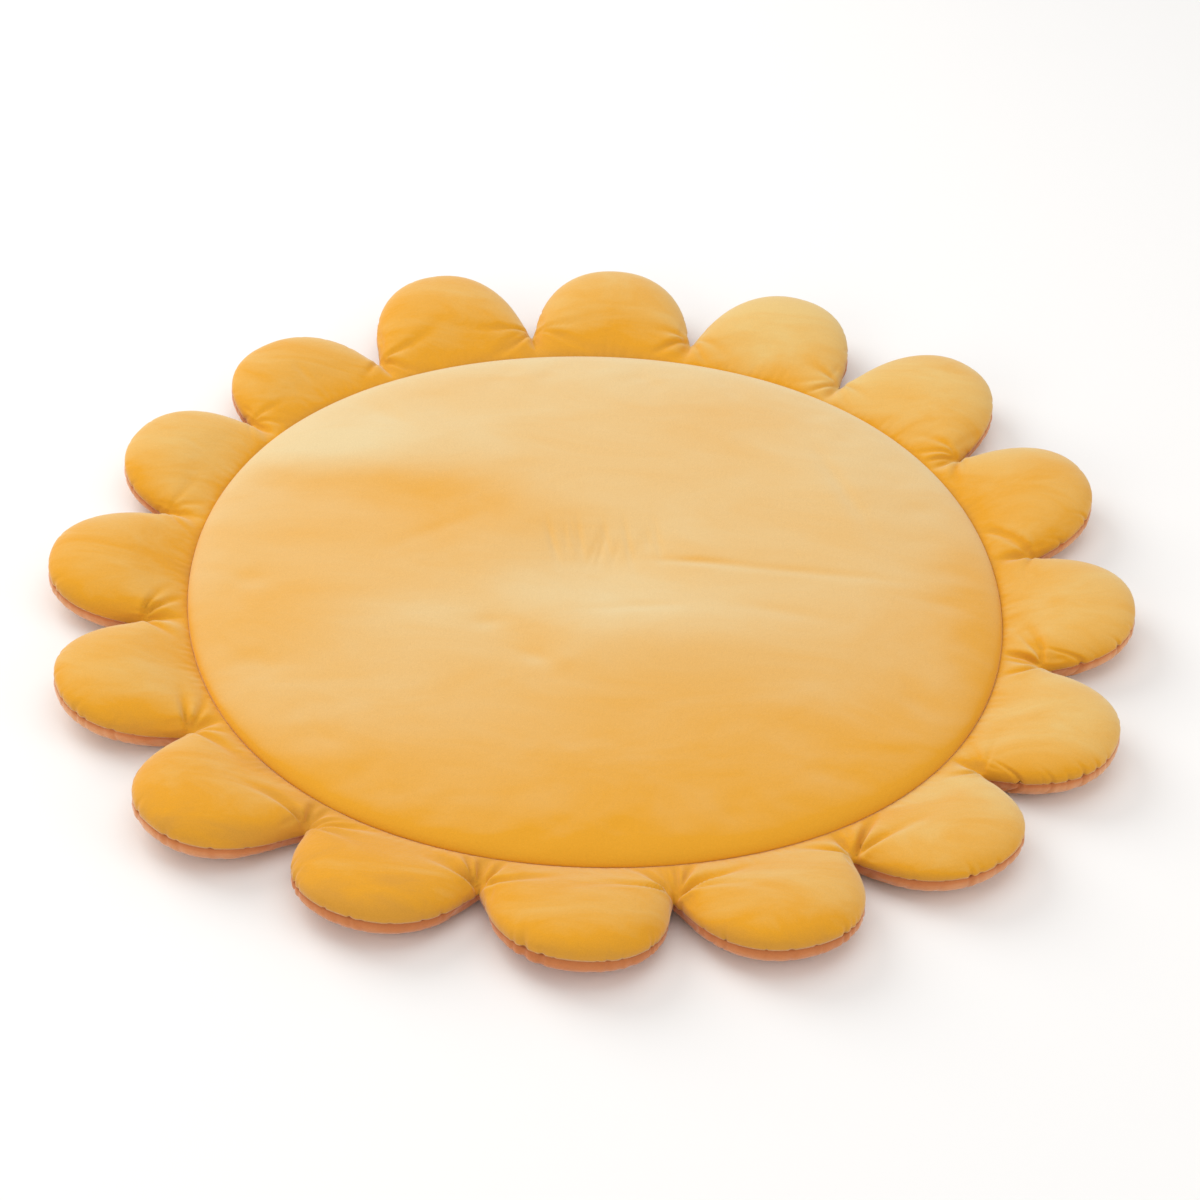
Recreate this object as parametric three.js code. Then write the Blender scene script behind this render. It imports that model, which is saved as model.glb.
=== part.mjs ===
import * as THREE from 'three';

// Flower-shaped floor mat of filled velvet: a round centre pad, one ring of sixteen petals sewn
// around it, and an underside panel cut to the whole flower.
// Millimetres, +Z up. The origin is on the floor, in the middle of the mat's box.

// Driving dimensions
const UP = new THREE.Vector3(0, 0, 1);
const GAP = 0.3;
const PETAL_COUNT = 16;
const PETAL_TURN = (2 * Math.PI) / PETAL_COUNT;

const SEAM_RADIUS = 450;
const SEAM_HEIGHT = 28;
const SEAM_WAVER = 5;
const SEAM_WAVER_LOBES = 4;
const SEAM_WAVER_ANGLE = THREE.MathUtils.degToRad(50);

const NOTCH_RADIUS = 496;
const NOTCH_HEIGHT = 21;
const TIP_HEIGHT = 39;
const PETAL_HALF_WIDTH = 92;
const PETAL_SQUARENESS = 2.2;
const NOTCH_FLARE = 12;
const FULL_PETAL_LENGTH = 150;
const CROWN_BY_LENGTH = 1.0;
const SEAM_RISE = 0.9;
const RIM_RISE = 0.45;
const BELLY_WIDTH = 64;
const BELLY_SHARE = 0.8;

const PAD_SHOULDER_HEIGHT = 14;
const PAD_SHOULDER_WIDTH = 60;
const PAD_CROWN_HEIGHT = 12;

// Steps of the faceted surfaces
const PETAL_COLUMNS = 16;
const RING_TOP_ROWS = 10;
const PAD_COLUMNS = 96;
const PAD_EDGE_ROWS = 5;
const PAD_INNER_ROWS = 8;
const BELLY_ROWS = 5;

// The petals, anticlockwise from +X: reach of the tip from the middle of the centre pad, sideways
// lean of the tip (anticlockwise is plus) and height of the crown over the line from seam to rim.
const petals = [
  { reach: 591, lean: -1, crown: 21 },
  { reach: 600, lean: 8, crown: 23 },
  { reach: 614, lean: 6, crown: 22 },
  { reach: 608, lean: 0, crown: 24 },
  { reach: 603, lean: 0, crown: 25 },
  { reach: 614, lean: -8, crown: 23 },
  { reach: 582, lean: 4, crown: 22 },
  { reach: 582, lean: -3, crown: 22 },
  { reach: 599, lean: 11, crown: 24 },
  { reach: 601, lean: -3, crown: 23 },
  { reach: 608, lean: -1, crown: 25 },
  { reach: 589, lean: -5, crown: 24 },
  { reach: 590, lean: 11, crown: 25 },
  { reach: 600, lean: 4, crown: 23 },
  { reach: 596, lean: 3, crown: 21 },
  { reach: 600, lean: -9, crown: 22 },
];

// Soft mounds (plus) and hollows (minus) of the centre pad: middle, half length, half width,
// turn of the long side in degrees, and height.
const padMounds = [
  { x: -280, y: 235, long: 140, wide: 55, turn: -4, height: 7 },
  { x: -270, y: 125, long: 160, wide: 55, turn: -8, height: -6 },
  { x: 110, y: -112, long: 230, wide: 70, turn: 3, height: 8 },
  { x: 100, y: -290, long: 220, wide: 80, turn: 2, height: -2 },
  { x: 0, y: 36, long: 80, wide: 50, turn: 0, height: -4 },
  { x: -85, y: -130, long: 70, wide: 40, turn: -40, height: -4 },
  { x: 280, y: 170, long: 60, wide: 110, turn: 20, height: 4 },
  { x: -300, y: -90, long: 110, wide: 70, turn: 20, height: 3 },
];

const padVelvet = new THREE.MeshStandardMaterial({ color: 0xe7a63f, roughness: 0.92, metalness: 0 });
const petalVelvet = new THREE.MeshStandardMaterial({ color: 0xe39f38, roughness: 0.92, metalness: 0 });
const peachVelvet = new THREE.MeshStandardMaterial({ color: 0xc98a55, roughness: 0.95, metalness: 0 });

// Places each vertex of a closed geometry by its column around the mat and its row along the
// section, both counted from the geometry's own uv.
function shaped(geometry, columns, rows, place) {
  const { position, uv } = geometry.attributes;
  for (let i = 0; i < position.count; i += 1) {
    const column = Math.round(uv.getX(i) * columns);
    const row = Math.round(uv.getY(i) * rows);
    const { x, y, z } = place(column, row);
    position.setXYZ(i, x, y, z);
  }
  geometry.computeVertexNormals();
  return geometry;
}

function onCircle(radius, angle, z) {
  return new THREE.Vector3(radius * Math.cos(angle), radius * Math.sin(angle), z);
}

function seamRadius(angle) {
  return SEAM_RADIUS + SEAM_WAVER * Math.cos(SEAM_WAVER_LOBES * (angle - SEAM_WAVER_ANGLE));
}

// A petal's rim in its own plan: `out` along the petal's axis and `across` it. The sweep runs from
// -90 degrees at one notch, over 0 at the tip, to +90 degrees at the next notch.
function petalRim(petal, sweep) {
  const notchOut = NOTCH_RADIUS * Math.cos(PETAL_TURN / 2);
  const notchAcross = NOTCH_RADIUS * Math.sin(PETAL_TURN / 2);
  const forward = Math.max(Math.cos(sweep), 0) ** (2 / PETAL_SQUARENESS);
  const sideways = Math.abs(Math.sin(sweep)) ** (2 / PETAL_SQUARENESS) * Math.sign(sweep);
  const out = notchOut + (petal.reach - notchOut) * forward;
  const flare = (notchAcross - PETAL_HALF_WIDTH) * Math.exp((notchOut - out) / NOTCH_FLARE);
  const across = (PETAL_HALF_WIDTH + flare) * sideways + petal.lean * forward;
  return { out, across };
}

// The line across the petal panel at one column: its ends on the round seam and on the rim, its
// length in plan, and the height of the crown that the filling gives it.
function petalLine(column, seamClearance) {
  const index = Math.floor(column / PETAL_COLUMNS) % PETAL_COUNT;
  const share = (column % PETAL_COLUMNS) / PETAL_COLUMNS - 0.5;
  const petal = petals[index];
  const axis = index * PETAL_TURN;
  const sweep = share * Math.PI;
  const rim = petalRim(petal, sweep);
  const rimHeight = NOTCH_HEIGHT + (TIP_HEIGHT - NOTCH_HEIGHT) * Math.max(Math.cos(sweep), 0);
  const outer = new THREE.Vector3(rim.out, rim.across, rimHeight).applyAxisAngle(UP, axis);
  const seamAngle = axis + share * PETAL_TURN;
  const inner = onCircle(seamRadius(seamAngle) + seamClearance, seamAngle, SEAM_HEIGHT);
  const length = Math.hypot(outer.x - inner.x, outer.y - inner.y);
  const crown = petal.crown * (length / FULL_PETAL_LENGTH) ** CROWN_BY_LENGTH;
  return { inner, outer, length, crown };
}

// How much of its crown the filling gives a petal, from 0 at the round seam to the rim at 1.
function fullness(fromSeam) {
  const fullest = SEAM_RISE / (SEAM_RISE + RIM_RISE);
  const most = fullest ** SEAM_RISE * (1 - fullest) ** RIM_RISE;
  return (fromSeam ** SEAM_RISE * (1 - fromSeam) ** RIM_RISE) / most;
}

// The petal ring: from the rim over the crown to the round seam, then straight back under it.
function petalRing() {
  const columns = PETAL_COLUMNS * PETAL_COUNT;
  const rows = RING_TOP_ROWS + 1;
  return shaped(new THREE.TorusGeometry(1, 0.5, rows, columns), columns, rows, (column, row) => {
    const line = petalLine(column, GAP / 2);
    const arch = (Math.PI * (row % rows)) / RING_TOP_ROWS;
    const fromRim = (1 - Math.cos(arch)) / 2;
    const point = line.outer.clone().lerp(line.inner, fromRim);
    point.z += GAP / 2 + line.crown * fullness(1 - fromRim);
    return point;
  });
}

// How far the mounds and hollows lift the pad at one place.
function moundLift(x, y) {
  let lift = 0;
  for (const mound of padMounds) {
    const turn = THREE.MathUtils.degToRad(mound.turn);
    const along = (x - mound.x) * Math.cos(turn) + (y - mound.y) * Math.sin(turn);
    const across = (y - mound.y) * Math.cos(turn) - (x - mound.x) * Math.sin(turn);
    lift += mound.height * Math.exp(-((along / mound.long) ** 2) - (across / mound.wide) ** 2);
  }
  return lift;
}

// The centre pad: from its middle over a soft crown, down the rounded shoulder to the seam, then
// flat back to the middle underneath.
function centrePad() {
  const rows = PAD_INNER_ROWS + PAD_EDGE_ROWS + 1;
  const sphere = new THREE.SphereGeometry(1, PAD_COLUMNS, rows);
  return shaped(sphere, PAD_COLUMNS, rows, (column, rowFromBelow) => {
    const row = rows - rowFromBelow;
    const angle = (2 * Math.PI * column) / PAD_COLUMNS - PETAL_TURN / 2;
    if (row === rows) {
      return new THREE.Vector3(0, 0, SEAM_HEIGHT + GAP / 2);
    }
    const edge = seamRadius(angle) - GAP / 2;
    const roll = (Math.PI / 2) * Math.max((row - PAD_INNER_ROWS) / PAD_EDGE_ROWS, 0);
    const shoulderStart = edge - PAD_SHOULDER_WIDTH;
    const inward = shoulderStart * Math.min(row / PAD_INNER_ROWS, 1);
    const radius = inward + PAD_SHOULDER_WIDTH * Math.sin(roll);
    const point = onCircle(radius, angle, SEAM_HEIGHT + GAP / 2);
    const fade = 1 - (radius / edge) ** 2;
    point.z += PAD_SHOULDER_HEIGHT * Math.cos(roll);
    point.z += fade * PAD_CROWN_HEIGHT;
    point.z += Math.sqrt(Math.max(fade, 0)) * moundLift(point.x, point.y);
    return point;
  });
}

// The underside panel: flat below the pad, under the petals out to the rim, round the belly of
// each petal down to the floor, and flat on the floor back to the middle.
function basePanel() {
  const columns = PETAL_COLUMNS * PETAL_COUNT;
  const rows = BELLY_ROWS + 3;
  return shaped(new THREE.SphereGeometry(1, columns, rows), columns, rows, (column, rowFromBelow) => {
    const row = rows - rowFromBelow;
    if (row === 0) {
      return new THREE.Vector3(0, 0, SEAM_HEIGHT - GAP / 2);
    }
    if (row === rows) {
      return new THREE.Vector3(0, 0, 0);
    }
    const line = petalLine(column, 0);
    if (row === 1) {
      line.inner.z -= GAP / 2;
      return line.inner;
    }
    const roll = (Math.PI / 2) * ((row - 2) / BELLY_ROWS);
    const belly = Math.min(BELLY_WIDTH, BELLY_SHARE * line.length);
    const fromRim = (belly * (1 - Math.cos(roll))) / line.length;
    const point = line.outer.clone().lerp(line.inner, fromRim);
    point.z = (line.outer.z - GAP / 2) * (1 - Math.sin(roll));
    return point;
  });
}

const mat = new THREE.Group();

function addPiece(name, geometry, material) {
  const mesh = new THREE.Mesh(geometry, material);
  mesh.name = name;
  mat.add(mesh);
}

addPiece('centre_pad', centrePad(), padVelvet);
addPiece('petal_ring', petalRing(), petalVelvet);
addPiece('base_panel', basePanel(), peachVelvet);

// The petals are uneven, so the mat is moved until the middle of its box is over the origin.
const middle = new THREE.Box3().setFromObject(mat).getCenter(new THREE.Vector3());
mat.position.set(-middle.x, -middle.y, 0);

export default mat;
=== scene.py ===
import math

import bpy
import numpy as np
from mathutils import Matrix, Vector


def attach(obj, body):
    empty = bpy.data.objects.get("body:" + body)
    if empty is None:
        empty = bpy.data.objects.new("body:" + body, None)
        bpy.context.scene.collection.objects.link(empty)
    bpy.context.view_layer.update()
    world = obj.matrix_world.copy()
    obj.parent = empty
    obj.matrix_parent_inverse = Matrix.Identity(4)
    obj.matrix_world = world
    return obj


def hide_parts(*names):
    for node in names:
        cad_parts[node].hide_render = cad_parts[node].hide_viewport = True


# A flower-shaped floor mat of filled velvet: a round centre pad, a ring of sixteen petals and a
# peach underside. Metres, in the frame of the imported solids.

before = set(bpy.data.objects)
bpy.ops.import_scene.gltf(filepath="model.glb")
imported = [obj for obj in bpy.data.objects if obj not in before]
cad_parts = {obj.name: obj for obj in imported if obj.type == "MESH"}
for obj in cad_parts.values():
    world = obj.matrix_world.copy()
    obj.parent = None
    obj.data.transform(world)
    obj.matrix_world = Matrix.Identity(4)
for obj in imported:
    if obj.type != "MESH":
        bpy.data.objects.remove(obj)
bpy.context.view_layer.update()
scene = bpy.context.scene
random = np.random.default_rng(16)

# Driving sizes, the same as the solids have
PETAL_COUNT = 16
PETAL_TURN = 2 * math.pi / PETAL_COUNT
SEAM_RADIUS = 0.450
SEAM_HEIGHT = 0.028
SEAM_WAVER = 0.005
SEAM_WAVER_LOBES = 4
SEAM_WAVER_ANGLE = math.radians(50)
SEAM_CLEARANCE = 0.00003
NOTCH_RADIUS = 0.496
NOTCH_HEIGHT = 0.021
TIP_HEIGHT = 0.039
PETAL_HALF_WIDTH = 0.092
PETAL_SQUARENESS = 2.2
NOTCH_FLARE = 0.012
FULL_PETAL_LENGTH = 0.150
CROWN_BY_LENGTH = 1.0
SEAM_RISE = 0.9
RIM_RISE = 0.45
BELLY_WIDTH = 0.064
BELLY_SHARE = 0.8
PAD_SHOULDER_HEIGHT = 0.014
PAD_SHOULDER_WIDTH = 0.060
PAD_CROWN_HEIGHT = 0.012
MM = 0.001

# The petals, anticlockwise from +X: reach, sideways lean and height of the crown, in millimetres,
# and how much paler or deeper each petal's velvet is coloured, in hundredths
PETALS = np.array([
    (591, -1, 21, 17), (600, 8, 23, 3), (614, 6, 22, 23), (608, 0, 24, 42),
    (603, 0, 25, 0), (614, -8, 23, -2), (582, 4, 22, -2), (582, -3, 22, 8),
    (599, 11, 24, -14), (601, -3, 23, 2), (608, -1, 25, -26), (589, -5, 24, -28),
    (590, 11, 25, -14), (600, 4, 23, -10), (596, 3, 21, 13), (600, -9, 22, 14),
])
REACH, LEAN, CROWN = PETALS[:, :3].T * MM
PETAL_TONE = PETALS[:, 3] / 100

# Soft mounds and hollows of the pad, in millimetres and degrees:
# middle x and y, half length, half width, turn of the long side, height
PAD_MOUNDS = [
    (-280, 235, 140, 55, -4, 7),
    (-270, 125, 160, 55, -8, -6),
    (110, -112, 230, 70, 3, 8),
    (100, -290, 220, 80, 2, -2),
    (0, 36, 80, 50, 0, -4),
    (-85, -130, 70, 40, -40, -4),
    (280, 170, 60, 110, 20, 4),
    (-300, -90, 110, 70, 20, 3),
]

# Creases and dents of the pad's velvet, in the same columns
PAD_CREASES = [
    (110, 24, 40, 7, -3, -1.2),
    (220, 16, 110, 8, -2, -0.9),
    (270, 182, 70, 10, -68, -1.6),
    (-112, -99, 18, 12, 20, -1.1),
    (-56, -155, 26, 12, -30, -1.1),
    (-35, -162, 30, 14, 10, 0.8),
    (200, -60, 60, 12, -8, -0.8),
    (-180, 60, 60, 12, 35, -0.7),
    (40, -66, 56, 9, 9, -0.8),
]

# Where the pad's tone is paler or deeper, in the same columns, the last in hundredths: partly
# the pile's own brushed patches and partly painted sheen and shade, pale at the back left and
# deeper in the hollows and towards the front edge
PAD_PILE_AND_SHADE_PATCHES = [
    (-310, 210, 100, 42, -3, 36),
    (-290, 135, 120, 52, -6, -18),
    (-150, 118, 95, 46, -10, -18),
    (150, 300, 90, 70, 0, -12),
    (-350, -80, 100, 90, 10, -24),
    (-200, -98, 80, 40, 0, 8),
    (-290, 60, 170, 42, 4, -24),
    (-180, 20, 90, 60, 20, -12),
    (30, 75, 60, 30, 0, 8),
    (20, -50, 120, 34, -5, 10),
    (300, -70, 180, 70, 2, -14),
    (110, -235, 230, 70, 0, -20),
    (330, -240, 90, 60, 30, -12),
    (400, 20, 60, 120, 0, -10),
    (70, -340, 300, 75, 2, -26),
    (20, -425, 330, 50, 2, -12),
    (425, -60, 45, 200, 0, -22),
    (-260, -320, 110, 60, 0, -10),
    (330, -190, 70, 50, 30, -6),
]

# The unevenness of the petals puts the middle of the mat's box a little off the pad's middle
MIDDLE = Vector((
    (REACH[PETAL_COUNT // 2] - REACH[0]) / 2,
    (REACH[3 * PETAL_COUNT // 4] - REACH[PETAL_COUNT // 4]) / 2,
    0,
))

# Camera, floor and light

IMAGE_WIDTH = 1200
SENSOR_WIDTH = 36
FOCAL_PIXELS = 3407
CAMERA_DISTANCE = 3.770
CAMERA_ELEVATION = math.radians(38.66)
CAMERA_AZIMUTH = math.radians(0.6)
CAMERA_ROLL = math.radians(2.556)
CAMERA_AIM = Vector((0.0053, 0.0168, 0))
FLOOR_HALF_WIDTH = 6
FLOOR_COLOUR = (0.88, 0.875, 0.87)
WORLD_COLOUR = (1.0, 0.99, 0.98)
WORLD_STRENGTH = 0.62

# Round area lights, all aimed at the mat: name, place, size, power in watts, colour
LIGHTS = [
    ("soft_back_left", (-2.6, 2.1, 2.3), 3.2, 88, (1.0, 0.99, 0.97)),
    ("soft_top", (0.4, 0.2, 3.2), 3.0, 23, (1.0, 0.99, 0.98)),
    ("soft_front_left", (-1.9, -2.6, 1.5), 2.4, 24, (1.0, 0.98, 0.96)),
    ("soft_right", (2.8, -1.2, 1.4), 2.0, 16, (1.0, 0.98, 0.96)),
]


def make_camera():
    back = Vector((0, -math.cos(CAMERA_ELEVATION), math.sin(CAMERA_ELEVATION)))
    right = Matrix.Rotation(CAMERA_ROLL, 3, back) @ Vector((1, 0, 0))
    up = back.cross(right)
    place = Matrix((right, up, back)).transposed().to_4x4()
    place.translation = CAMERA_AIM + back * CAMERA_DISTANCE
    data = bpy.data.cameras.new("camera")
    data.sensor_width = SENSOR_WIDTH
    data.lens = FOCAL_PIXELS / IMAGE_WIDTH * SENSOR_WIDTH
    camera = bpy.data.objects.new("camera", data)
    scene.collection.objects.link(camera)
    swing = Matrix.Rotation(CAMERA_AZIMUTH, 4, "Z")
    camera.matrix_world = Matrix.Translation(MIDDLE) @ swing @ place
    scene.camera = camera


def make_floor():
    half = FLOOR_HALF_WIDTH
    corners = [(-half, -half, 0), (half, -half, 0), (half, half, 0), (-half, half, 0)]
    mesh = bpy.data.meshes.new("floor")
    mesh.from_pydata(corners, [], [(0, 1, 2, 3)])
    floor = bpy.data.objects.new("floor", mesh)
    scene.collection.objects.link(floor)
    material = bpy.data.materials.new("floor")
    material.use_nodes = True
    shader = material.node_tree.nodes["Principled BSDF"]
    shader.inputs["Base Color"].default_value = (*FLOOR_COLOUR, 1)
    shader.inputs["Roughness"].default_value = 0.9
    shader.inputs["Specular IOR Level"].default_value = 0.1
    mesh.materials.append(material)


def make_light(name, place, size, power, colour):
    data = bpy.data.lights.new(name, "AREA")
    data.shape = "DISK"
    data.size = size
    data.energy = power
    data.color = colour
    light = bpy.data.objects.new(name, data)
    light.location = place
    light.rotation_euler = (-Vector(place)).to_track_quat("-Z", "Y").to_euler()
    scene.collection.objects.link(light)


def make_lights():
    world = bpy.data.worlds.new("studio")
    world.use_nodes = True
    background = world.node_tree.nodes["Background"]
    background.inputs["Color"].default_value = (*WORLD_COLOUR, 1)
    background.inputs["Strength"].default_value = WORLD_STRENGTH
    scene.world = world
    scene.view_settings.view_transform = "Standard"
    for light in LIGHTS:
        make_light(*light)


# Materials

def node(tree, kind, **values):
    made = tree.nodes.new(kind)
    for name, value in values.items():
        if name in made.inputs:
            made.inputs[name].default_value = value
        else:
            setattr(made, name, value)
    return made


def noise_at(tree, place, scale, detail=3.0, roughness=0.5, distortion=0.0):
    made = node(tree, "ShaderNodeTexNoise", Scale=scale, Detail=detail, Roughness=roughness)
    made.inputs["Distortion"].default_value = distortion
    tree.links.new(place, made.inputs["Vector"])
    return made.outputs["Fac"]


def ramp(tree, factor, stops):
    made = node(tree, "ShaderNodeValToRGB")
    elements = made.color_ramp.elements
    while len(elements) < len(stops):
        elements.new(0.5)
    for element, (position, colour) in zip(elements, stops):
        element.position = position
        element.color = (*colour, 1)
    tree.links.new(factor, made.inputs["Fac"])
    return made.outputs["Color"]


def grey(value):
    return (value, value, value)


PILE_ROUGHNESS = 0.85
PILE_SPECULAR = 0.12
SHEEN_ROUGHNESS = 0.4
DEEP_TONE = 0.3
BRUSH_STROKES = (0.8, 1.8, 1.0)
FIBRE_SCALE = 900.0
TUFT_SCALE = 260.0
DARK_FIBRE = 0.86
GRAIN_SHARE = 0.6
PATCH_RANGE = (0.3, 0.7)


def velvet(name, tones, patch_scale, patchy, sheen, sheen_tint):
    """Short-pile velvet: colour between a shaded, a deep and a pale tone, chosen by the nap
    attribute, which holds painted sheen and painted shade as well as the pile's own tone, moved by
    brushed patches, with a fine fibre grain and a pale sheen."""
    material = bpy.data.materials.new(name)
    material.use_nodes = True
    tree = material.node_tree
    shader = tree.nodes["Principled BSDF"]
    place = node(tree, "ShaderNodeTexCoord").outputs["Object"]

    strokes = node(tree, "ShaderNodeMapping", Scale=BRUSH_STROKES)
    tree.links.new(place, strokes.inputs["Vector"])
    brushed_at = strokes.outputs["Vector"]
    patches = noise_at(tree, brushed_at, patch_scale, detail=5.0, roughness=0.6, distortion=0.6)
    uneven = node(tree, "ShaderNodeMapRange")
    ends = zip(("From Min", "From Max", "To Min", "To Max"), (*PATCH_RANGE, -patchy, patchy))
    for end, value in ends:
        uneven.inputs[end].default_value = value
    tree.links.new(patches, uneven.inputs["Value"])
    # The "nap" attribute: the pile's own tone with painted sheen and painted shade added
    lie = node(tree, "ShaderNodeAttribute", attribute_name="nap").outputs["Fac"]
    tone = node(tree, "ShaderNodeMath", operation="ADD")
    tree.links.new(uneven.outputs["Result"], tone.inputs[0])
    tree.links.new(lie, tone.inputs[1])
    # Colour from the shaded over the deep to the pale tone: painted shade at the low end, partly
    # painted sheen at the high end
    brushed = ramp(tree, tone.outputs[0], list(zip((0.0, DEEP_TONE, 1.0), tones)))
    fibres = noise_at(tree, place, FIBRE_SCALE, detail=2.0)
    grain = ramp(tree, fibres, [(0.3, grey(DARK_FIBRE)), (0.7, grey(1.0))])
    colour = node(tree, "ShaderNodeMix", data_type="RGBA", blend_type="MULTIPLY")
    colour.inputs[0].default_value = GRAIN_SHARE
    tree.links.new(brushed, colour.inputs[6])
    tree.links.new(grain, colour.inputs[7])
    tree.links.new(colour.outputs[2], shader.inputs["Base Color"])

    tufts = noise_at(tree, place, TUFT_SCALE, detail=3.0)
    pile = node(tree, "ShaderNodeBump", Strength=0.25, Distance=0.0008)
    tree.links.new(fibres, pile.inputs["Height"])
    nap = node(tree, "ShaderNodeBump", Strength=0.2, Distance=0.002)
    tree.links.new(tufts, nap.inputs["Height"])
    tree.links.new(pile.outputs["Normal"], nap.inputs["Normal"])
    tree.links.new(nap.outputs["Normal"], shader.inputs["Normal"])

    shader.inputs["Roughness"].default_value = PILE_ROUGHNESS
    shader.inputs["Specular IOR Level"].default_value = PILE_SPECULAR
    shader.inputs["Sheen Weight"].default_value = sheen
    shader.inputs["Sheen Roughness"].default_value = SHEEN_ROUGHNESS
    shader.inputs["Sheen Tint"].default_value = (*sheen_tint, 1)
    return material


# The form of the mat, as arrays of points

def turned(out, across, angle):
    """Points from lengths along and across a direction."""
    return out * np.cos(angle) - across * np.sin(angle), out * np.sin(angle) + across * np.cos(angle)


def seam_radius(angle):
    return SEAM_RADIUS + SEAM_WAVER * np.cos(SEAM_WAVER_LOBES * (angle - SEAM_WAVER_ANGLE))


def petal_lines(petal_columns, seam_clearance=0.0):
    """The lines across the petal panel: inner and outer ends, lengths and crown heights."""
    column = np.arange(petal_columns * PETAL_COUNT)
    index = column // petal_columns
    share = (column % petal_columns) / petal_columns - 0.5
    axis = index * PETAL_TURN
    sweep = share * math.pi
    notch_out = NOTCH_RADIUS * math.cos(PETAL_TURN / 2)
    notch_across = NOTCH_RADIUS * math.sin(PETAL_TURN / 2)
    facing = np.clip(np.cos(sweep), 0, 1)
    forward = facing ** (2 / PETAL_SQUARENESS)
    sideways = np.abs(np.sin(sweep)) ** (2 / PETAL_SQUARENESS) * np.sign(sweep)
    out = notch_out + (REACH[index] - notch_out) * forward
    flare = (notch_across - PETAL_HALF_WIDTH) * np.exp((notch_out - out) / NOTCH_FLARE)
    across = (PETAL_HALF_WIDTH + flare) * sideways + LEAN[index] * forward
    outer_x, outer_y = turned(out, across, axis)
    outer = np.stack([outer_x, outer_y, NOTCH_HEIGHT + (TIP_HEIGHT - NOTCH_HEIGHT) * facing], -1)
    seam_angle = axis + share * PETAL_TURN
    radius = seam_radius(seam_angle) + seam_clearance
    height = np.full_like(radius, SEAM_HEIGHT)
    inner = np.stack([radius * np.cos(seam_angle), radius * np.sin(seam_angle), height], -1)
    length = np.hypot(*(outer - inner)[:, :2].T)
    crown = CROWN[index] * (length / FULL_PETAL_LENGTH) ** CROWN_BY_LENGTH
    return inner, outer, length, crown


def fullness(from_seam):
    """How much of its crown the filling gives a petal, from 0 at the round seam to the rim at 1."""
    fullest = SEAM_RISE / (SEAM_RISE + RIM_RISE)
    most = fullest ** SEAM_RISE * (1 - fullest) ** RIM_RISE
    return from_seam ** SEAM_RISE * (1 - from_seam) ** RIM_RISE / most


def soft_spots(x, y, spots):
    """The sum of soft oval mounds, hollows and creases at each place of the pad."""
    lift = np.zeros_like(x)
    for middle_x, middle_y, long, wide, turn, height in spots:
        angle = math.radians(turn)
        east, north = x - middle_x * MM, y - middle_y * MM
        along = east * math.cos(angle) + north * math.sin(angle)
        across = north * math.cos(angle) - east * math.sin(angle)
        lift += height * MM * np.exp(-(along / long / MM) ** 2 - (across / wide / MM) ** 2)
    return lift


def skin(name, rows, first_pole=None, last_pole=None):
    """A closed mesh from rows of points round the mat. Rows without poles close on themselves."""
    count, columns = len(rows), len(rows[0])
    points = np.concatenate(rows) + np.array(MIDDLE)
    here = np.arange(columns)
    after = (here + 1) % columns
    faces = []
    joins = count if first_pole is None else count - 1
    for row in range(joins):
        low, high = row * columns, (row + 1) % count * columns
        faces.append(np.stack([low + here, low + after, high + after, high + here], -1))
    faces = [tuple(face) for face in np.concatenate(faces).tolist()]
    if first_pole is not None:
        poles = np.array([first_pole, last_pole]) + np.array(MIDDLE)
        bottom = len(points)
        points = np.concatenate([points, poles])
        last = (count - 1) * columns
        faces += [(bottom, int(b), int(a)) for a, b in zip(here, after)]
        faces += [(last + int(a), last + int(b), bottom + 1) for a, b in zip(here, after)]
    mesh = bpy.data.meshes.new(name)
    mesh.from_pydata(points.tolist(), [], faces)
    mesh.polygons.foreach_set("use_smooth", [True] * len(mesh.polygons))
    made = bpy.data.objects.new(name, mesh)
    scene.collection.objects.link(made)
    return made


def vertex_values(mesh, name):
    found = np.empty(len(mesh.vertices) * 3)
    mesh.vertices.foreach_get(name, found)
    return found.reshape(-1, 3)


def move_to(piece, points):
    piece.data.vertices.foreach_set("co", np.ascontiguousarray(points).ravel())
    piece.data.update()


# Filling: Blender's cloth puffs and puckers a coarse copy of each piece, and the fine one follows

CLOTH_FRAMES = 24


def filling_moves(rows, sewn, spare, pressure, poles=()):
    """How far each point moves when the piece is filled. Sewn points stay put, and the cloth is
    cut `spare` larger than its form, so it puckers along its seams."""
    moves = np.zeros_like(rows)
    piece = skin("filling", list(rows), *poles)
    group = piece.vertex_groups.new(name="sewn")
    group.add([int(i) for i in np.nonzero(sewn.ravel())[0]], 1.0, "REPLACE")
    if poles:
        group.add([rows.shape[0] * rows.shape[1]], 1.0, "REPLACE")
    cloth = piece.modifiers.new("cloth", "CLOTH")
    settings = cloth.settings
    settings.quality = 6
    settings.mass = 0.2
    settings.tension_stiffness = 20
    settings.compression_stiffness = 20
    settings.shear_stiffness = 10
    settings.bending_stiffness = 0.05
    settings.air_damping = 2
    settings.use_pressure = True
    settings.uniform_pressure_force = pressure
    settings.vertex_group_mass = "sewn"
    settings.shrink_min = -spare
    settings.effector_weights.gravity = 0
    cloth.collision_settings.use_collision = False
    cloth.point_cache.frame_start = 1
    cloth.point_cache.frame_end = CLOTH_FRAMES
    before = vertex_values(piece.data, "co")
    for number in range(1, CLOTH_FRAMES + 1):
        scene.frame_set(number)
    filled = piece.evaluated_get(bpy.context.evaluated_depsgraph_get())
    after = vertex_values(filled.data, "co")
    moves += (after - before)[:rows.shape[0] * rows.shape[1]].reshape(rows.shape)
    bpy.data.objects.remove(piece)
    scene.frame_set(1)
    return moves


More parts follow.
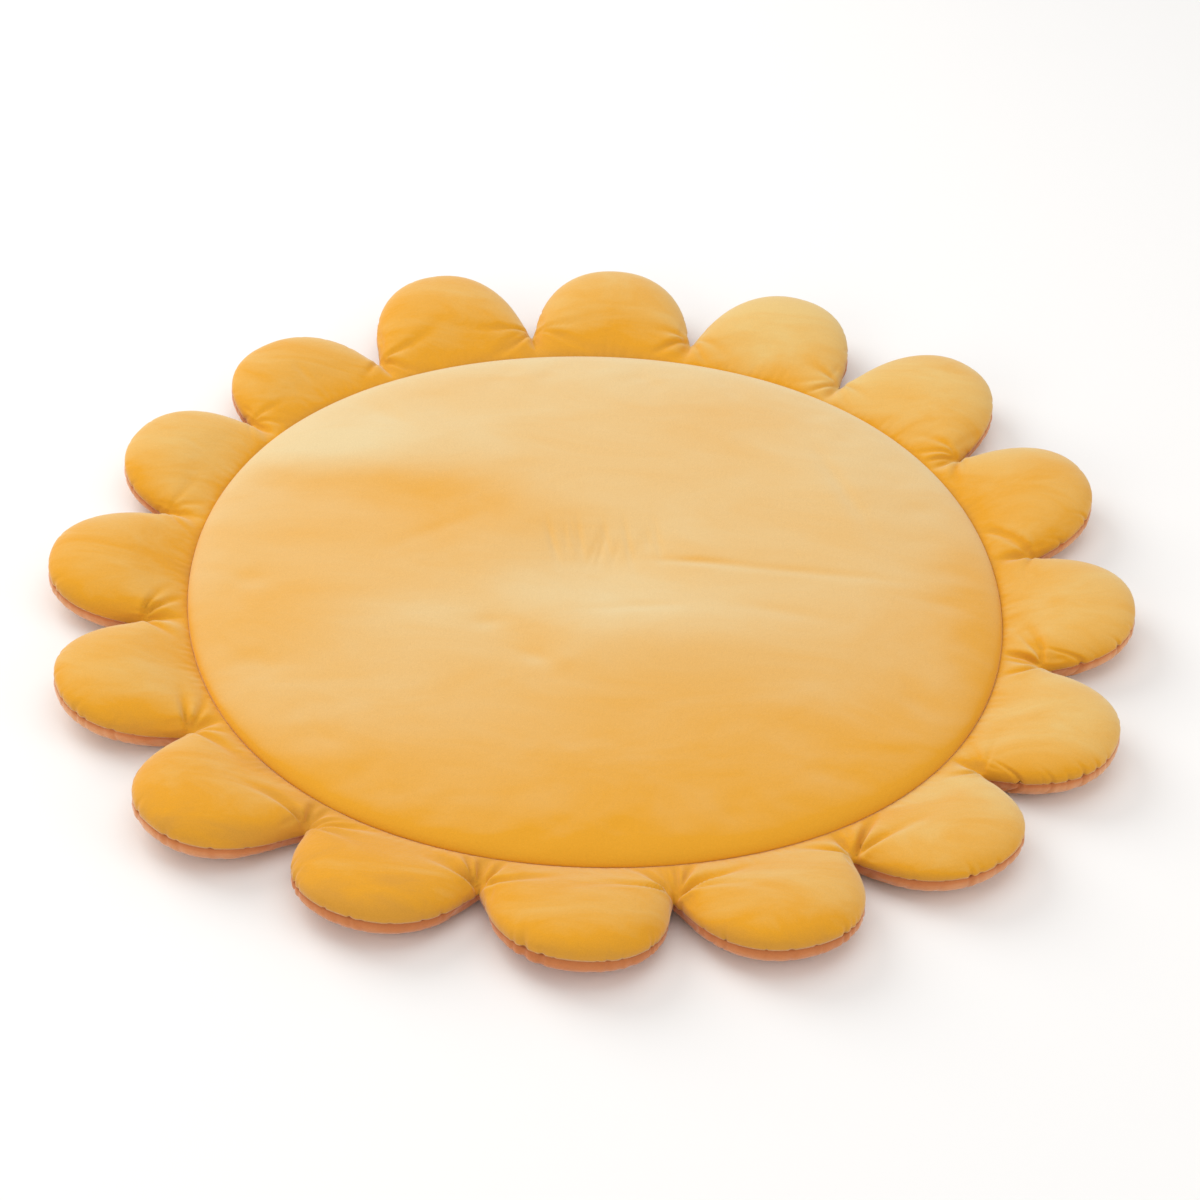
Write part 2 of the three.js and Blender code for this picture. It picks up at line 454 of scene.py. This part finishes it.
def capped(moves, most):
    length = np.maximum(np.linalg.norm(moves, axis=-1, keepdims=True), 1e-9)
    most = np.maximum(np.broadcast_to(most, length.shape[:-1])[..., None], 1e-9)
    return moves * most * np.tanh(length / most) / length


def finer(field, times, rows, columns):
    """A field of rows and columns on a finer grid, on smooth curves through its values. Columns
    run all round the mat, and there are `times` as many steps between the rows."""
    for axis, count, closed in ((0, rows, False), (1, columns, True)):
        old = field.shape[axis]
        place = np.arange(count) * (old / columns if closed else 1 / times)
        low = np.floor(place).astype(int)
        t = (place - low).reshape((-1, 1, 1) if axis == 0 else (1, -1, 1))
        mode = "wrap" if closed else "clip"
        a, b, c, d = (np.take(field, low + step, axis=axis, mode=mode) for step in (-1, 0, 1, 2))
        field = b + 0.5 * t * (c - a + t * (2 * a - 5 * b + 4 * c - d + t * (3 * (b - c) + d - a)))
    return field


# Gathers, nicks and seams

# Gathers at each notch, anticlockwise from the first petal's: how many on the petal before the
# notch and on the petal after it, and their depth in millimetres
NOTCHES = [
    (1, 2, 4.5), (2, 3, 5.5), (2, 3, 4.0), (2, 3, 3.8),
    (3, 3, 3.6), (3, 1, 3.2), (2, 1, 2.4), (2, 1, 2.4),
    (2, 1, 6.0), (2, 2, 6.0), (2, 3, 6.0), (5, 2, 7.5),
    (2, 5, 7.5), (1, 4, 6.5), (1, 3, 5.5), (1, 3, 5.5),
]
FIRST_GATHER = math.radians(14)
LAST_GATHER = math.radians(88)
FURROW_DEPTH = 0.005
FURROW_REACH = 0.042
FURROW_BREADTH = 1.9
FURROW_SPREAD = 0.1
GATHER_SPREAD = 0.12
GATHER_SPAN = (0.030, 0.066)
GATHER_STRENGTH = (0.6, 1.6)
GATHER_BREADTH = (0.8, 1.3)
GATHER_CURL = 5
GATHER_WIDTH = 0.0020
GATHER_WIDENING = 0.078
GATHER_START = 0.008
RIDGE_HEIGHT = 0.32
RIDGE_BREADTH = 2.2
NOTCH_AREA = 0.13
RIM_TUCK = 0.0014
RIM_TUCK_WIDTH = 0.007
# Painted shade in the crease troughs: how fast the tone falls with depth, and the lowest tone it
# paints
CREASE_SHADE = 95
CREASE_SHADE_FLOOR = 0.18
# Painted shade along the round seam: a broad band, and a narrow one in its groove
SEAM_SHADE = 0.16
SEAM_SHADE_WIDTH = 0.030
GROOVE_SHADE = 0.20
GROOVE_SHADE_WIDTH = 0.006
# Painted shade along the rim seam, on the petals' velvet and on the underside's lip
RIM_SHADE = 0.25
RIM_SHADE_WIDTH = 0.004
FIRST_NICK = 0.1
NICK_SPACING = (0.03, 0.16)
NICK_DEPTH = 0.0026
NICK_STRENGTH = (0.1, 1.0)
NICK_HALF_WIDTH = (0.0016, 0.0034)
NICK_REACH = (0.006, 0.014)
NICK_TAIL = 6
FOLD_SPACING = (0.02, 0.09)
FOLDS_DRAWN = 400

# The larger nicks across the rim seam: petal, place from its clockwise notch (-50) over its tip (0)
# to the next notch (50), half width, reach and depth in millimetres
LARGE_NICKS = [
    (15, -40, 3.2, 26, 4.5), (15, -30, 2.2, 14, 3.5), (15, -24, 2.0, 10, 3.0),
    (15, -18, 2.4, 13, 4.0), (15, -12, 2.0, 11, 3.0), (15, -6, 2.4, 9, 2.5),
    (0, -38, 3.4, 30, 4.5), (0, -22, 2.2, 12, 3.0), (0, -12, 2.0, 9, 2.5),
    (12, -20, 4.4, 16, 3.6), (12, 28, 2.6, 9, 1.6), (11, -29, 2.6, 12, 3.5),
    (11, -23, 2.2, 14, 3.5), (10, -32, 2.2, 10, 3.0), (10, -24, 2.4, 12, 3.5),
    (10, -14, 2.2, 9, 2.5), (13, 12, 2.6, 10, 3.0), (14, -12, 2.4, 11, 3.0),
    (9, -20, 2.2, 9, 2.5), (1, -25, 2.6, 16, 3.5), (3, -34, 2.4, 14, 3.0),
]


def crease_shape(off):
    """A crease's cross-section: a trough with a low ridge along each side."""
    return RIDGE_HEIGHT * np.exp(-(off / RIDGE_BREADTH) ** 2) - np.exp(-off ** 2)


def notch_gathers(points, generator):
    """How far the sewing draws the velvet in, in a fan of creases at each notch."""
    drawn = np.zeros(len(points))
    for index, (before, after, depth) in enumerate(NOTCHES):
        angle = (index + 0.5) * PETAL_TURN
        place = np.array([NOTCH_RADIUS * math.cos(angle), NOTCH_RADIUS * math.sin(angle)])
        east, north = (points[:, :2] - place - np.array(MIDDLE)[:2]).T
        outward, aside = turned(east, north, -angle)
        reach = np.hypot(outward, aside)
        near = np.nonzero(reach < NOTCH_AREA)[0]
        towards = np.arctan2(aside[near], -outward[near])
        away = reach[near]
        heading = generator.uniform(-FURROW_SPREAD, FURROW_SPREAD)
        creases = [(heading, FURROW_REACH, FURROW_DEPTH, FURROW_BREADTH)]
        for side, count in ((-1, before), (1, after)):
            for step in range(count):
                heading = FIRST_GATHER + (LAST_GATHER - FIRST_GATHER) * (step + 0.5) / count
                heading += generator.uniform(-GATHER_SPREAD, GATHER_SPREAD)
                span = generator.uniform(*GATHER_SPAN)
                deep = depth * MM * generator.uniform(*GATHER_STRENGTH)
                creases.append((side * heading, span, deep, generator.uniform(*GATHER_BREADTH)))
        for heading, span, deep, breadth in creases:
            curl = generator.uniform(-GATHER_CURL, GATHER_CURL)
            width = (GATHER_WIDTH + GATHER_WIDENING * away) * breadth
            turn = towards - heading - curl * away
            ahead = np.cos(turn) > 0
            fade = (1 - np.exp(-(away / GATHER_START) ** 2)) * np.exp(-(away / span) ** 2)
            drawn[near] += deep * ahead * fade * crease_shape(away * np.sin(turn) / width)
    return drawn


def fold_table(generator):
    """Small upright folds all along the strip under the rim, in the same columns as the nicks."""
    places = np.cumsum(generator.uniform(*FOLD_SPACING, FOLDS_DRAWN))
    places = places[places < PETAL_COUNT]
    widths, reaches, depths = (generator.uniform(low, high, len(places)) * MM
                               for low, high in ((2.0, 4.5), (20, 45), (0.2, 1.5)))
    return list(zip(places, widths, reaches, depths))


def nick_table(generator):
    """Short creases across the rim seam: place in petals, half width, reach and depth."""
    nicks = []
    for petal, place, half_width, reach, depth in LARGE_NICKS:
        nicks.append((petal + 0.5 + place / 100, half_width * MM, reach * MM, depth * MM))
    place = FIRST_NICK
    while place < PETAL_COUNT:
        depth = NICK_DEPTH * generator.uniform(*NICK_STRENGTH)
        half_width = generator.uniform(*NICK_HALF_WIDTH)
        reach = generator.uniform(*NICK_REACH)
        nicks.append((place, half_width, reach, depth))
        place += generator.uniform(*NICK_SPACING)
    return nicks


def rim_nicks(outer, from_rim, nicks, reach_share=1.0):
    """How far each point is drawn in by the nicks. Rows of points lie across the rim."""
    steps = np.linalg.norm(np.diff(outer[:, :2], axis=0, append=outer[:1, :2]), axis=1)
    along = np.concatenate([[0], np.cumsum(steps)[:-1]])
    middles = np.interp([nick[0] * PETAL_COLUMNS for nick in nicks], np.arange(len(along)), along)
    drawn = np.zeros(from_rim.shape)
    for middle, (place, half_width, reach, depth) in zip(middles, nicks):
        near = np.nonzero(np.abs(along - middle) < NICK_TAIL * half_width)[0]
        shape = crease_shape((along[near] - middle) / half_width)
        drawn[:, near] += depth * shape * np.exp(-(from_rim[:, near] / reach / reach_share) ** 2)
    return drawn


def rim_tuck(inner, outer, from_rim):
    """The stitches draw the velvet in along the rim seam."""
    inward = (inner - outer) * [1, 1, 0]
    inward /= np.linalg.norm(inward, axis=1, keepdims=True)
    return inward * (RIM_TUCK * np.exp(-(from_rim / RIM_TUCK_WIDTH) ** 2))[..., None]


def paint_tone_and_shading(piece, tone, drawn, shade_by_facing, sideways):
    """Keeps each point's tone as the "nap" attribute, with painted sheen and painted shade added:
    slopes that face the back are painted pale and slopes that face the front deep, as light and
    sheen fall on them, and creases are painted deep as shade."""
    facing = vertex_values(piece.data, "normal")
    # Painted sheen and shade: paler on slopes facing the back, deeper on slopes facing the front,
    # shifted a little by how the slope faces along x
    tone = tone + shade_by_facing * facing[:, 1] + sideways * facing[:, 0]
    # Painted shade in the crease troughs: the tone falls with how far the velvet is drawn in, down
    # to a floor
    tone = np.minimum(tone, np.maximum(tone + CREASE_SHADE * drawn, CREASE_SHADE_FLOOR))
    layer = piece.data.attributes.new("nap", "FLOAT", "POINT")
    layer.data.foreach_set("value", np.clip(tone, 0, 1))


def seam_shade(from_seam):
    # Painted shade, deepest in the round seam's groove and fading over a broad band
    broad = SEAM_SHADE * np.exp(-(from_seam / SEAM_SHADE_WIDTH) ** 2)
    return broad + GROOVE_SHADE * np.exp(-(from_seam / GROOVE_SHADE_WIDTH) ** 2)


def own(piece, material, node_name):
    piece.data.materials.append(material)
    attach(piece, "root")
    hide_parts(node_name)


PETAL_COLUMNS = 128
COARSE_PETAL_COLUMNS = 36
NICKS = nick_table(random)


# The petal ring

RING_ROWS = 44
RING_TIMES = 4
RING_UNDER_ROWS = 3
RING_SPARE = 0.015
RING_PRESSURE = 2.5
LEAST_PUFF = 0.0002
RING_PUFF = 0.0056
PUFF_START = 0.04
PUFF_RISE = 0.06
RIM_RELEASE = 0.05
PUFF_AT_RIM = 0.1
SEAM_STILL = 0.010
RING_TONE = 0.55


def ring_top(petal_columns, row_count):
    """Rows of points from the rim over the crowns to the round seam."""
    inner, outer, length, crown = petal_lines(petal_columns, SEAM_CLEARANCE)
    from_rim = (1 - np.cos(np.linspace(0, math.pi, row_count + 1)[:, None])) / 2
    points = outer + (inner - outer) * from_rim[..., None]
    points[..., 2] += crown * fullness(1 - from_rim)
    return points


def under_rows(top):
    """Straight rows from the last row back to the first."""
    shares = np.arange(1, RING_UNDER_ROWS) / RING_UNDER_ROWS
    return np.stack([top[-1] + (top[0] - top[-1]) * share for share in shares])


def make_petal_ring():
    coarse = ring_top(COARSE_PETAL_COLUMNS, RING_ROWS // RING_TIMES)
    rows = np.concatenate([coarse, under_rows(coarse)])
    sewn = np.ones(rows.shape[:2], bool)
    sewn[1:len(coarse) - 1] = False
    moves = filling_moves(rows, sewn, RING_SPARE, RING_PRESSURE)[:len(coarse)]
    from_seam = np.linalg.norm(coarse - coarse[-1], axis=-1)
    edge = np.linalg.norm(coarse - coarse[0], axis=-1)
    seam_free = np.clip((from_seam - PUFF_START) / PUFF_RISE, 0, 1)
    most = LEAST_PUFF + RING_PUFF * seam_free * np.clip(edge / RIM_RELEASE, PUFF_AT_RIM, 1)
    top = ring_top(PETAL_COLUMNS, RING_ROWS)
    columns = top.shape[1]
    top += finer(capped(moves, most), RING_TIMES, len(top), columns)
    from_rim = np.linalg.norm(top - top[0], axis=-1)
    top += rim_tuck(top[-1], top[0], from_rim)
    rows = np.concatenate([top, under_rows(top)])
    ring = skin("petal_ring_velvet", list(rows))
    points = vertex_values(ring.data, "co")
    drawn = notch_gathers(points, random)
    count = top.shape[0] * columns
    drawn[:count] += rim_nicks(top[0], from_rim, NICKS).ravel()
    from_seam = np.linalg.norm(rows - top[-1], axis=-1).ravel()
    drawn *= 1 - np.exp(-(from_seam / SEAM_STILL) ** 2)
    drawn[(RING_ROWS * columns):] = 0
    move_to(ring, points + vertex_values(ring.data, "normal") * drawn[:, None])
    share = (np.arange(len(points)) % columns) / PETAL_COLUMNS - 0.5
    tone = RING_TONE + np.interp(share, np.arange(PETAL_COUNT), PETAL_TONE, period=PETAL_COUNT)
    # Painted shade along the round seam
    tone -= seam_shade(from_seam)
    # Painted shade along the rim
    tone[:count] -= RIM_SHADE * np.exp(-(from_rim / RIM_SHADE_WIDTH) ** 2).ravel()
    # Painted sheen and shade on the petals, by which way each slope faces
    paint_tone_and_shading(ring, tone, drawn, 0.45, 0.08)
    own(ring, gold_petals, "petal_ring")


# The centre pad

PAD_COLUMNS = 512
COARSE_PAD_COLUMNS = 128
PAD_TIMES = 4
PAD_INNER_ROWS = 120
PAD_EDGE_ROWS = 24
PAD_UNDER_ROWS = 3
PAD_SPARE = 0.004
PAD_PRESSURE = 0.5
PAD_PUFF = 0.004
PAD_STILL_MIDDLE = 0.12
PAD_STILL_EDGE = 0.15
PAD_TONE = 0.72


def pad_top(columns, inner_rows, edge_rows):
    """Rows of points from the round seam over the shoulder to the first row round the middle."""
    angle = np.arange(columns) * 2 * math.pi / columns - PETAL_TURN / 2
    edge = seam_radius(angle) - SEAM_CLEARANCE
    start = edge - PAD_SHOULDER_WIDTH
    roll = np.clip(1 - np.arange(inner_rows + edge_rows) / edge_rows, 0, 1)[:, None] * math.pi / 2
    share = np.clip(1 - (np.arange(inner_rows + edge_rows) - edge_rows) / inner_rows, 0, 1)[:, None]
    radius = start * share + PAD_SHOULDER_WIDTH * np.sin(roll)
    fade = np.clip(1 - (radius / edge) ** 2, 0, 1)
    x, y = radius * np.cos(angle), radius * np.sin(angle)
    z = SEAM_HEIGHT + PAD_SHOULDER_HEIGHT * np.cos(roll) + fade * PAD_CROWN_HEIGHT
    return np.stack([x, y, z + np.sqrt(fade) * soft_spots(x, y, PAD_MOUNDS)], -1)


def pad_under(edge_row):
    shares = np.arange(1, PAD_UNDER_ROWS + 1) / (PAD_UNDER_ROWS + 1)
    return np.stack([edge_row * [share, share, 1] for share in shares])


def make_centre_pad():
    coarse = pad_top(COARSE_PAD_COLUMNS, PAD_INNER_ROWS // PAD_TIMES, PAD_EDGE_ROWS // PAD_TIMES)
    under = pad_under(coarse[0])
    top_pole = (0, 0, float(coarse[-1, :, 2].mean()))
    poles = ((0, 0, SEAM_HEIGHT), top_pole)
    rows = np.concatenate([under, coarse])
    sewn = np.zeros(rows.shape[:2], bool)
    sewn[:len(under) + 1] = True
    moves = filling_moves(rows, sewn, PAD_SPARE, PAD_PRESSURE, poles)[len(under):]
    from_middle = np.hypot(coarse[..., 0], coarse[..., 1])
    free = np.clip(from_middle / PAD_STILL_MIDDLE, 0, 1)
    free = free * np.clip((SEAM_RADIUS - from_middle) / PAD_STILL_EDGE, 0, 1)
    moves = capped(moves, PAD_PUFF) * free[..., None]
    top = pad_top(PAD_COLUMNS, PAD_INNER_ROWS, PAD_EDGE_ROWS)
    top += finer(moves, PAD_TIMES, len(top), PAD_COLUMNS)
    x, y = top[..., 0], top[..., 1]
    top[..., 2] += soft_spots(x, y, PAD_CREASES + pad_wrinkles(random))
    rows = np.concatenate([pad_under(top[0]), top])
    pad = skin("centre_pad_velvet", list(rows), poles[0], (0, 0, float(top[-1, :, 2].mean())))
    tone = np.full(len(pad.data.vertices), PAD_TONE)
    covered = tone[len(pad_under(top[0])) * PAD_COLUMNS:-2]
    # The pile's own brushed patches together with painted sheen and shade
    covered += soft_spots(x, y, PAD_PILE_AND_SHADE_PATCHES).ravel() / MM / 100
    from_seam = np.linalg.norm(top - top[0], axis=-1).ravel()
    # Painted shade on the pad's edge in the round seam's groove
    covered -= GROOVE_SHADE * np.exp(-(from_seam / GROOVE_SHADE_WIDTH) ** 2)
    # Painted sheen and shade on the pad, by which way each slope faces, at full strength
    paint_tone_and_shading(pad, tone, 0, 1.0, 0)
    own(pad, gold_pad, "centre_pad")


def pad_wrinkles(generator):
    """A patch of fine upright wrinkles in the middle of the pad."""
    wrinkles = []
    for place in np.linspace(-55, 55, 12):
        x = 8 + place + generator.uniform(-4, 4)
        y = 44 + generator.uniform(-20, 20)
        long, wide = generator.uniform(16, 36), generator.uniform(3, 4.5)
        turn = 90 + generator.uniform(-14, 14)
        wrinkles.append((x, y, long, wide, turn, -generator.uniform(0.5, 1.4)))
    return wrinkles


# The underside panel

BASE_FLOOR_ROWS = 12
BASE_BELLY_ROWS = 18
BASE_TIMES = 3
BASE_TOP_ROWS = 6
BASE_SPARE = 0.02
BASE_PRESSURE = 2.0
BASE_PUFF = 0.002
BASE_NICK_REACH = 1.8
BASE_TONE = 0.46
# Painted light: the underside grows paler towards the left and right, as if lit from the sides
BASE_SIDE_PAINTED_LIGHT = 0.75


def base_belly(petal_columns, row_count):
    """Rows of points from the floor up the belly of each petal to the rim."""
    inner, outer, length = petal_lines(petal_columns)[:3]
    belly = np.minimum(BELLY_WIDTH, BELLY_SHARE * length)
    inward = (inner - outer) / length[:, None]
    roll = np.linspace(math.pi / 2, 0, row_count + 1)[:, None]
    points = outer + inward * (belly * (1 - np.cos(roll)))[..., None]
    points[..., 2] = (outer[:, 2] - SEAM_CLEARANCE) * (1 - np.sin(roll))
    return points


def with_floor(belly):
    shares = np.arange(1, BASE_FLOOR_ROWS) / BASE_FLOOR_ROWS
    return np.concatenate([np.stack([belly[0] * share for share in shares]), belly])


def make_base_panel():
    coarse = base_belly(COARSE_PETAL_COLUMNS, BASE_BELLY_ROWS // BASE_TIMES)
    rows = with_floor(coarse)
    sewn = np.ones(rows.shape[:2], bool)
    sewn[BASE_FLOOR_ROWS:-1] = False
    poles = ((0, 0, 0), (0, 0, SEAM_HEIGHT))
    moves = filling_moves(rows, sewn, BASE_SPARE, BASE_PRESSURE, poles)[BASE_FLOOR_ROWS - 1:]
    belly = base_belly(PETAL_COLUMNS, BASE_BELLY_ROWS)
    columns = belly.shape[1]
    belly += finer(capped(moves, BASE_PUFF), BASE_TIMES, len(belly), columns)
    inner, outer = petal_lines(PETAL_COLUMNS)[:2]
    outer[:, 2] -= SEAM_CLEARANCE
    inner[:, 2] -= SEAM_CLEARANCE
    from_rim = np.linalg.norm(belly - outer, axis=-1)
    drawn = rim_nicks(outer, from_rim, NICKS, BASE_NICK_REACH)
    drawn += rim_nicks(outer, from_rim, fold_table(random))
    belly += rim_tuck(inner, outer, from_rim)
    belly[..., 2] = np.maximum(belly[..., 2], 0)
    rows = with_floor(belly)
    first_belly = BASE_FLOOR_ROWS - 1
    shares = np.arange(1, BASE_TOP_ROWS + 1) / BASE_TOP_ROWS
    under_petals = np.stack([belly[-1] + (inner - belly[-1]) * share for share in shares])
    rows = np.concatenate([rows, under_petals])
    base = skin("base_panel_velvet", list(rows), (0, 0, 0), (0, 0, SEAM_HEIGHT - SEAM_CLEARANCE))
    points = vertex_values(base.data, "co")
    drawn_in = np.zeros(len(points))
    drawn_in[first_belly * columns:(first_belly + len(belly)) * columns] = drawn.ravel()
    points += vertex_values(base.data, "normal") * drawn_in[:, None]
    points[:, 2] = np.maximum(points[:, 2], 0)
    move_to(base, points)
    # Painted light: paler towards the left and right sides
    tone = BASE_TONE + BASE_SIDE_PAINTED_LIGHT * np.abs(points[:, 0])
    # Painted shade on the underside's lip along the rim, twice as deep as on the petals
    shaded_lip = tone[first_belly * columns:(first_belly + len(belly)) * columns]
    shaded_lip -= 2 * RIM_SHADE * np.exp(-(from_rim / RIM_SHADE_WIDTH) ** 2).ravel()
    # Painted sheen and shade on the underside, by which way each slope faces
    paint_tone_and_shading(base, tone, drawn_in, 0.25, 0)
    own(base, peach, "base_panel")


make_camera()
make_floor()
make_lights()
# Tones of each velvet: shaded (reached through painted shade), deep and pale
gold_pad = velvet(
    "pad_velvet", ((0.73, 0.335, 0.02), (0.75, 0.345, 0.02), (0.75, 0.58, 0.31)),
    7.0, 0.07, 0.4, (1.0, 0.94, 0.87),
)
gold_petals = velvet(
    "petal_velvet", ((0.655, 0.305, 0.035), (0.75, 0.338, 0.018), (0.75, 0.51, 0.18)),
    11.0, 0.20, 0.4, (0.9, 0.97, 1.0),
)
peach = velvet(
    "under_velvet", ((0.50, 0.16, 0.05), (0.60, 0.21, 0.07), (0.86, 0.48, 0.25)),
    14.0, 0.12, 0.4, (1.0, 0.93, 0.88),
)
make_centre_pad()
make_petal_ring()
make_base_panel()
